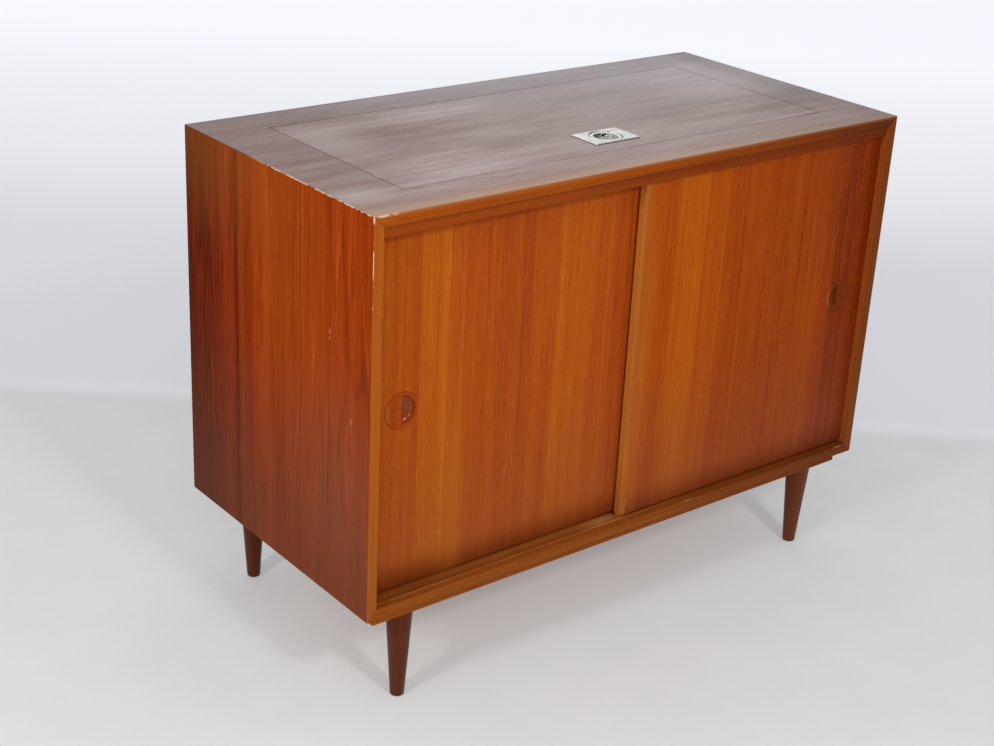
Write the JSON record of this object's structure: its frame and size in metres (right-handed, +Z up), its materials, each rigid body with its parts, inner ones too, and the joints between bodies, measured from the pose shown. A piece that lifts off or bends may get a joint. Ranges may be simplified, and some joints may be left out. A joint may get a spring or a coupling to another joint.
{
  "type": "bar cabinet",
  "caption": "Mid-century teak bar cabinet on tapered round legs, with sliding doors, scooped finger pulls and a hinged hatch with a flush ring pull over a bar well in its top.",
  "frame": {"origin": "on the floor, under the middle of the case", "axes": "+X to the right as seen from the front, +Y from the doors to the back, +Z up"},
  "size_m": [1, 0.485, 0.7588],
  "materials": {
    "side_veneer": "oiled teak veneer, red-brown, worn satin",
    "top_veneer": "teak veneer faded grey-brown, satin sheen",
    "door_veneer": "oiled teak veneer, orange-brown, satin",
    "lipping": "solid teak, oiled",
    "inside_veneer": "teak veneer, unfaded, satin",
    "dark_teak": "turned solid teak, dark, satin",
    "plywood": "bare birch plywood",
    "nickel": "satin nickel plate, slightly dulled",
    "brass": "plain brass",
    "steel": "zinc plated steel"
  },
  "bodies": {
    "case": {"left_side": "side_veneer", "right_side": "side_veneer", "top_panel": "top_veneer", "bottom_panel": "inside_veneer", "bottom_lipping": "lipping", "back_panel": "plywood", "door_track": "lipping", "guide_rail": "lipping", "front_batten": "lipping", "rear_batten": "lipping", "leg_front_left": "dark_teak", "leg_front_right": "dark_teak", "leg_rear_left": "dark_teak", "leg_rear_right": "dark_teak", "leg_bolt_front_left": "steel", "leg_bolt_front_right": "steel", "leg_bolt_rear_left": "steel", "leg_bolt_rear_right": "steel", "well_floor": "inside_veneer", "well_front": "inside_veneer", "well_back": "inside_veneer", "well_left": "inside_veneer", "well_right": "inside_veneer", "centre_partition": "inside_veneer", "shelf": "inside_veneer", "shelf_pin_1": "brass", "shelf_pin_2": "brass", "shelf_pin_3": "brass", "shelf_pin_4": "brass", "lid_pivot_left": "brass", "lid_pivot_right": "brass"},
    "left_door": {"left_door": "door_veneer", "left_door_lipping": "lipping", "left_door_pull": "lipping"},
    "right_door": {"right_door": "door_veneer", "right_door_lipping": "lipping", "right_door_pull": "lipping"},
    "lid": {"lid": "top_veneer", "lid_bearing_left": "brass", "lid_bearing_right": "brass", "flush_pull_plate": "nickel"},
    "pull_ring": {"pull_ring": "nickel"}
  },
  "joints": [
    {"name": "left_door_slide", "type": "slide", "parent": "case", "child": "left_door", "axis": [1, 0, 0], "range_m": [0, 0.4615]},
    {"name": "right_door_slide", "type": "slide", "parent": "case", "child": "right_door", "axis": [-1, 0, 0], "range_m": [0, 0.4615]},
    {"name": "lid_hinge", "type": "hinge", "parent": "case", "child": "lid", "pos_m": [0, 0.14792, 0.749], "axis": [-1, 0, 0], "range_deg": [0, 95]},
    {"name": "ring_hinge", "type": "hinge", "parent": "lid", "child": "pull_ring", "pos_m": [0.004, -0.0885, 0.757], "axis": [-1, 0, 0], "range_deg": [0, 90]}
  ]
}
